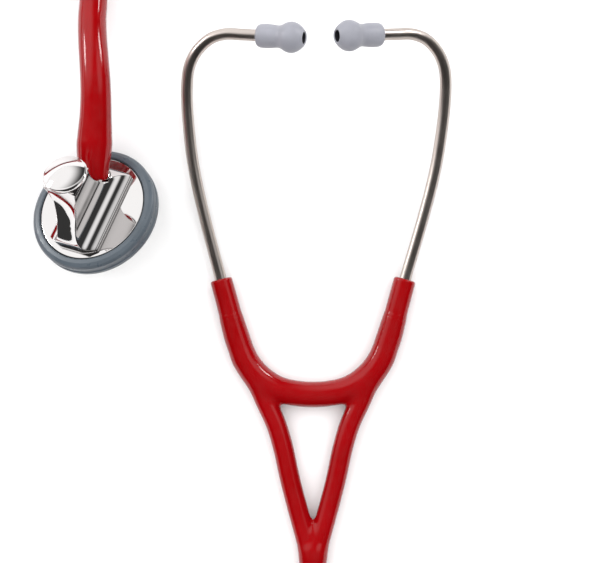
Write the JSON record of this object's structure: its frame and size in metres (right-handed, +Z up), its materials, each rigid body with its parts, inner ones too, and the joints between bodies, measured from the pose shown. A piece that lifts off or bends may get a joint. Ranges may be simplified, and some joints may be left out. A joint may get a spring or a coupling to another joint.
{
  "type": "stethoscope",
  "caption": "Single-sided stethoscope with a polished steel chestpiece, a tunable diaphragm, glossy red tubing, a sprung yoke and turning ear tubes with soft grey eartips.",
  "frame": {"origin": "on the table, under the centre of the object's box measured without the free tube", "axes": "+Z up from the table, +Y along the headset's axis of symmetry from the yoke to the eartips, +X to the wearer's right as laid out"},
  "size_m": [0.2453, 0.365, 0.051],
  "materials": {
    "polished_steel": "mirror-polished stainless steel",
    "ear_tube_steel": "satin stainless tube, slightly warm",
    "spring_steel": "plain rolled spring steel",
    "red_tubing": "glossy soft moulded tubing",
    "grey_rim": "satin slate-grey moulded rim",
    "grey_eartip": "soft satin light grey, slightly lilac",
    "white_plastic": "off-white fibre-filled plastic"
  },
  "bodies": {
    "base": {"yoke": "red_tubing", "headset_spring": "spring_steel", "tube": "red_tubing", "tube_cuff": "red_tubing", "chestpiece_stem": "polished_steel", "chestpiece_body": "polished_steel", "chestpiece_rim": "grey_rim", "diaphragm_surround": "grey_rim"},
    "diaphragm": {"diaphragm": "white_plastic"},
    "arm_left": {"arm_left": "red_tubing", "spring_clip_left": "spring_steel"},
    "ear_tube_left": {"ear_tube_left": "ear_tube_steel"},
    "eartip_left": {"eartip_left": "grey_eartip", "eartip_core_left": "white_plastic"},
    "arm_right": {"arm_right": "red_tubing", "spring_clip_right": "spring_steel"},
    "ear_tube_right": {"ear_tube_right": "ear_tube_steel"},
    "eartip_right": {"eartip_right": "grey_eartip", "eartip_core_right": "white_plastic"}
  },
  "joints": [
    {"name": "diaphragm_press", "type": "slide", "parent": "base", "child": "diaphragm", "axis": [-0.3213, 0.4083, 0.8545], "range_m": [0, 0.0004], "stiffness_N_per_m": 15000},
    {"name": "arm_flex_left", "type": "hinge", "parent": "base", "child": "arm_left", "pos_m": [-0.0016, -0.01618, 0.0056], "axis": [0, 0, 1], "range_deg": [-2.5, 15], "stiffness_Nm_per_rad": 1.4},
    {"name": "arm_flex_right", "type": "hinge", "parent": "base", "child": "arm_right", "pos_m": [0.06, -0.01618, 0.0056], "axis": [0, 0, -1], "range_deg": [-2.5, 15], "stiffness_Nm_per_rad": 1.4},
    {"name": "ear_turn_left", "type": "hinge", "parent": "arm_left", "child": "ear_tube_left", "pos_m": [-0.0092, 0.01082, 0.0056], "axis": [-0.247, 0.969, 0], "range_deg": [-25, 17]},
    {"name": "ear_turn_right", "type": "hinge", "parent": "arm_right", "child": "ear_tube_right", "pos_m": [0.0676, 0.01082, 0.0056], "axis": [0.2756, 0.9613, 0], "range_deg": [-24, 18]},
    {"name": "tip_spin_left", "type": "hinge", "parent": "ear_tube_left", "child": "eartip_left", "pos_m": [0.00641, 0.11088, 0.0201], "axis": [0.9421, -0.0839, 0.3247], "continuous": true},
    {"name": "tip_spin_right", "type": "hinge", "parent": "ear_tube_right", "child": "eartip_right", "pos_m": [0.05695, 0.11073, 0.02485], "axis": [-0.8997, -0.0687, 0.431], "continuous": true}
  ],
  "couplings": [
    {"joint": "arm_flex_right", "follows": "arm_flex_left", "ratio": 1}
  ]
}
